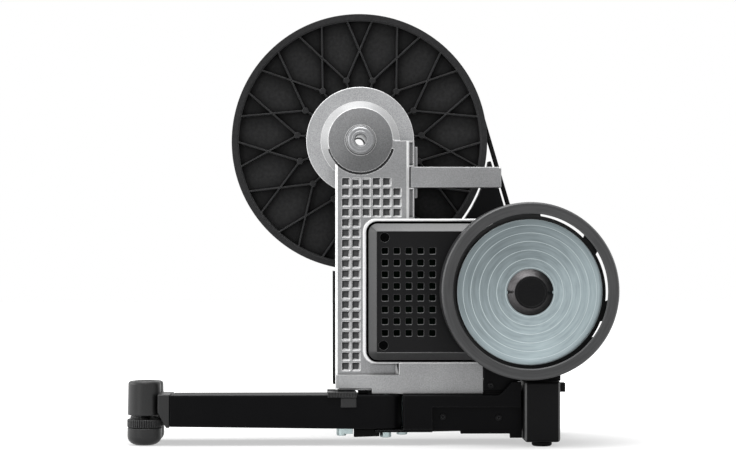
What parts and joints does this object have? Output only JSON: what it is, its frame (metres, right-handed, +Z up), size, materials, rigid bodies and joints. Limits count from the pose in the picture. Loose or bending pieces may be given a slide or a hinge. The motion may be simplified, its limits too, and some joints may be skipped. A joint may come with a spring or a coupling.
{
  "type": "direct drive bike trainer",
  "caption": "Indoor bike trainer that replaces the rear wheel: cast arm, belt drive to a braked flywheel, cassette hub and folding front legs.",
  "frame": {"origin": "middle of the footprint on the floor, at the height of the feet", "axes": "+X from the folding front feet to the rear block, +Y from the flywheel side to the drive side, +Z up"},
  "size_m": [0.5388, 0.198, 0.4825],
  "materials": {
    "cast_aluminium": "sand-blasted casting",
    "turned_steel": "turned",
    "dark_steel": "dark turned",
    "zinc_plate": "bluish zinc plating",
    "black_plastic": "moulded",
    "black_paint": "powder coated",
    "guard_plastic": "satin",
    "rubber": "moulded",
    "grey_plastic": "moulded",
    "board": "lacquered circuit board",
    "winding": "enamelled wire"
  },
  "bodies": {
    "frame": {"main_casting": "cast_aluminium", "hub_axle": "turned_steel", "end_cap_near": "cast_aluminium", "end_cap_far": "cast_aluminium", "pulley_bearing_near": "turned_steel", "pulley_bearing_far": "turned_steel", "carry_handle": "cast_aluminium", "handle_bolt_1": "turned_steel", "handle_bolt_2": "turned_steel", "brake_cover": "black_plastic", "cover_screw_1": "black_paint", "cover_screw_2": "black_paint", "brake_coil": "winding", "control_board": "board", "shaft_bearing_near": "turned_steel", "shaft_bearing_far": "turned_steel", "flywheel_guard": "guard_plastic", "belt_guard": "black_plastic", "drive_belt": "rubber", "drive_cover": "black_plastic", "drive_cover_screw_1": "black_paint", "drive_cover_screw_2": "black_paint", "base_frame": "black_paint", "pivot_bolt_near": "zinc_plate", "pivot_bolt_far": "zinc_plate", "frame_bolt": "zinc_plate", "rubber_wedge": "rubber", "side_panel": "black_plastic", "panel_screw_1": "turned_steel", "panel_screw_2": "turned_steel", "panel_screw_3": "turned_steel", "rear_beam": "black_paint", "rear_block_near": "black_plastic", "rear_block_far": "black_plastic", "rear_pad_near": "rubber", "rear_pad_far": "rubber", "power_inlet": "black_plastic"},
    "flywheel": {"flywheel_disc": "zinc_plate", "flywheel_nut": "dark_steel", "flywheel_cap": "black_plastic", "flywheel_shaft": "turned_steel", "belt_pinion": "turned_steel"},
    "pulley": {"pulley_wheel": "black_plastic"},
    "freehub": {"freehub_body": "turned_steel", "cassette": "turned_steel", "cassette_lock_ring": "turned_steel"},
    "leg_near": {"leg_tube_near": "black_paint", "foot_holder_near": "grey_plastic", "lock_pin_near": "zinc_plate"},
    "latch_near": {"leg_latch_near": "grey_plastic"},
    "foot_near": {"screw_foot_near": "grey_plastic"},
    "wheel_near": {"foot_wheel_near": "grey_plastic"},
    "leg_far": {"leg_tube_far": "black_paint", "foot_holder_far": "grey_plastic", "lock_pin_far": "zinc_plate"},
    "latch_far": {"leg_latch_far": "grey_plastic"},
    "foot_far": {"screw_foot_far": "grey_plastic"},
    "wheel_far": {"foot_wheel_far": "grey_plastic"}
  },
  "joints": [
    {"name": "flywheel_spin", "type": "hinge", "parent": "frame", "child": "flywheel", "pos_m": [0.17343, 0, 0.17035], "axis": [0, 1, 0], "continuous": true},
    {"name": "pulley_spin", "type": "hinge", "parent": "frame", "child": "pulley", "pos_m": [-0.01077, 0, 0.338], "axis": [0, 1, 0], "continuous": true},
    {"name": "freehub_spin", "type": "hinge", "parent": "pulley", "child": "freehub", "pos_m": [-0.01077, 0, 0.338], "axis": [0, 1, 0], "continuous": true},
    {"name": "leg_near_fold", "type": "hinge", "parent": "frame", "child": "leg_near", "pos_m": [0.01723, -0.036, 0.03], "axis": [0, 0, 1], "range_deg": [0, 70]},
    {"name": "leg_far_fold", "type": "hinge", "parent": "frame", "child": "leg_far", "pos_m": [0.01723, 0.0033, 0.03], "axis": [0, 0, -1], "range_deg": [0, 70]},
    {"name": "latch_near_slide", "type": "slide", "parent": "leg_near", "child": "latch_near", "axis": [1, 0, 0], "range_m": [0, 0.004], "stiffness_N_per_m": 300},
    {"name": "latch_far_slide", "type": "slide", "parent": "leg_far", "child": "latch_far", "axis": [1, 0, 0], "range_m": [0, 0.004], "stiffness_N_per_m": 300},
    {"name": "wheel_near_turn", "type": "hinge", "parent": "leg_near", "child": "wheel_near", "pos_m": [-0.25017, -0.036, 0.023], "axis": [0, 0, 1], "range_deg": [0, 2881]},
    {"name": "wheel_far_turn", "type": "hinge", "parent": "leg_far", "child": "wheel_far", "pos_m": [-0.25017, 0.0033, 0.023], "axis": [0, 0, 1], "range_deg": [0, 2881]},
    {"name": "foot_near_screw", "type": "slide", "parent": "leg_near", "child": "foot_near", "axis": [0, 0, -1], "range_m": [0, 0.012]},
    {"name": "foot_far_screw", "type": "slide", "parent": "leg_far", "child": "foot_far", "axis": [0, 0, -1], "range_m": [0, 0.012]}
  ],
  "couplings": [
    {"joint": "pulley_spin", "follows": "flywheel_spin", "ratio": 0.0887},
    {"joint": "wheel_near_turn", "follows": "foot_near_screw", "rad_per_m": 4188.8},
    {"joint": "wheel_far_turn", "follows": "foot_far_screw", "rad_per_m": 4188.8}
  ]
}
